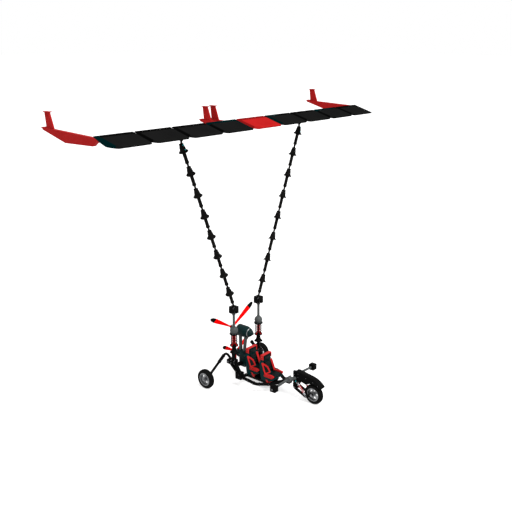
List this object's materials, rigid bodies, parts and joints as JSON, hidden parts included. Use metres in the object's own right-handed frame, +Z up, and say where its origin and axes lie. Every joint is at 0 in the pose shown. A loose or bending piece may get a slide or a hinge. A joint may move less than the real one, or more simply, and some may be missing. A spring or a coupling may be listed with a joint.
{
  "type": "two-seat paramotor trike with a rigid panelled wing",
  "caption": "Tandem two-seat paramotor trike: three-wheeled frame with foot-bar steering, twin pusher propellers and a rigid panelled wing held on two masts by ball-jointed risers.",
  "frame": {"origin": "on the ground under the middle of the bounding box, on the centre line", "axes": "+X forward, +Y to the left, +Z up; the wing spans Y"},
  "size_m": [3.981, 9.27, 7.2429],
  "materials": {
    "black_frame": "satin black",
    "black_panel": "satin black moulding",
    "red_panel": "satin red moulding",
    "riser_black": "matt black moulding",
    "grey_metal": "bead-blasted grey",
    "rim_silver": "machined and lacquered",
    "tyre": "moulded rubber",
    "seat_shell": "dark teal moulding",
    "seat_pad": "black grained cover",
    "red_trim": "gloss red moulding",
    "spring_red": "gloss red",
    "blade_red": "gloss red",
    "blade_tip": "gloss black",
    "motor_teal": "dark teal enamel",
    "steel": "ground"
  },
  "bodies": {
    "chassis": {"rear_frame": "black_frame", "keel_frame": "black_frame", "side_boxes": "black_panel", "frame_rails": "black_frame", "frame_diagonals": "black_frame", "nose_frame": "black_frame", "gear_legs": "black_frame", "rear_axles": "steel", "mast_posts": "black_frame", "mast_struts": "black_frame", "mast_springs": "spring_red", "mast_swivels": "grey_metal", "hang_blocks": "black_panel", "riser_links_left": "riser_black", "riser_links_right": "riser_black", "riser_sockets": "riser_black", "wing_panels_left": "black_panel", "wing_panels_right": "black_panel", "wing_panel_centre": "red_panel", "wing_ribs": "black_panel", "wing_spar": "black_frame", "tail_booms_outer": "red_panel", "tail_booms_inner": "red_panel", "tail_fins": "red_panel", "upper_motor_pod": "motor_teal", "lower_motor": "motor_teal", "motor_pylon": "grey_metal", "seat_shells": "seat_shell", "seat_bolster_panels": "seat_pad", "seat_bolster_rims": "red_trim", "seat_thigh_bars": "red_trim", "seat_red_trim": "red_trim", "seat_pads": "seat_pad", "seat_back_pads": "seat_pad", "seat_head_pads": "seat_pad", "motor_cowl": "motor_teal"},
    "steering": {"fork_head": "black_frame", "steering_pin": "steel", "fork_arms": "black_frame", "front_axle": "steel", "shock_bodies": "steel", "shock_springs": "spring_red", "fender": "black_panel", "foot_bar_arms": "grey_metal", "foot_pegs": "black_panel"},
    "front_wheel": {"tyre_front": "tyre", "rim_front": "rim_silver"},
    "rear_wheel_left": {"tyre_rear_left": "tyre", "rim_rear_left": "rim_silver"},
    "rear_wheel_right": {"tyre_rear_right": "tyre", "rim_rear_right": "rim_silver"},
    "upper_propeller": {"upper_prop_hub": "steel", "upper_prop_blades": "blade_red", "upper_prop_tips": "blade_tip"},
    "lower_propeller": {"lower_prop_hub": "steel", "lower_prop_blades": "blade_red", "lower_prop_tips": "blade_tip"}
  },
  "joints": [
    {"name": "steering_turn", "type": "hinge", "parent": "chassis", "child": "steering", "pos_m": [1.1195, 0, 0.485], "axis": [0, 0, 1], "range_deg": [-25, 25]},
    {"name": "front_wheel_turn", "type": "hinge", "parent": "steering", "child": "front_wheel", "pos_m": [1.7205, 0, 0.257], "axis": [0, 1, 0], "continuous": true},
    {"name": "rear_left_wheel_turn", "type": "hinge", "parent": "chassis", "child": "rear_wheel_left", "pos_m": [-0.9005, 1.115, 0.257], "axis": [0, 1, 0], "continuous": true},
    {"name": "rear_right_wheel_turn", "type": "hinge", "parent": "chassis", "child": "rear_wheel_right", "pos_m": [-0.9005, -1.115, 0.257], "axis": [0, 1, 0], "continuous": true},
    {"name": "upper_propeller_turn", "type": "hinge", "parent": "chassis", "child": "upper_propeller", "pos_m": [-0.9705, 0, 1.32], "axis": [1, 0, 0], "continuous": true},
    {"name": "lower_propeller_turn", "type": "hinge", "parent": "chassis", "child": "lower_propeller", "pos_m": [-0.8425, 0, 0.66], "axis": [1, 0, 0], "continuous": true}
  ]
}
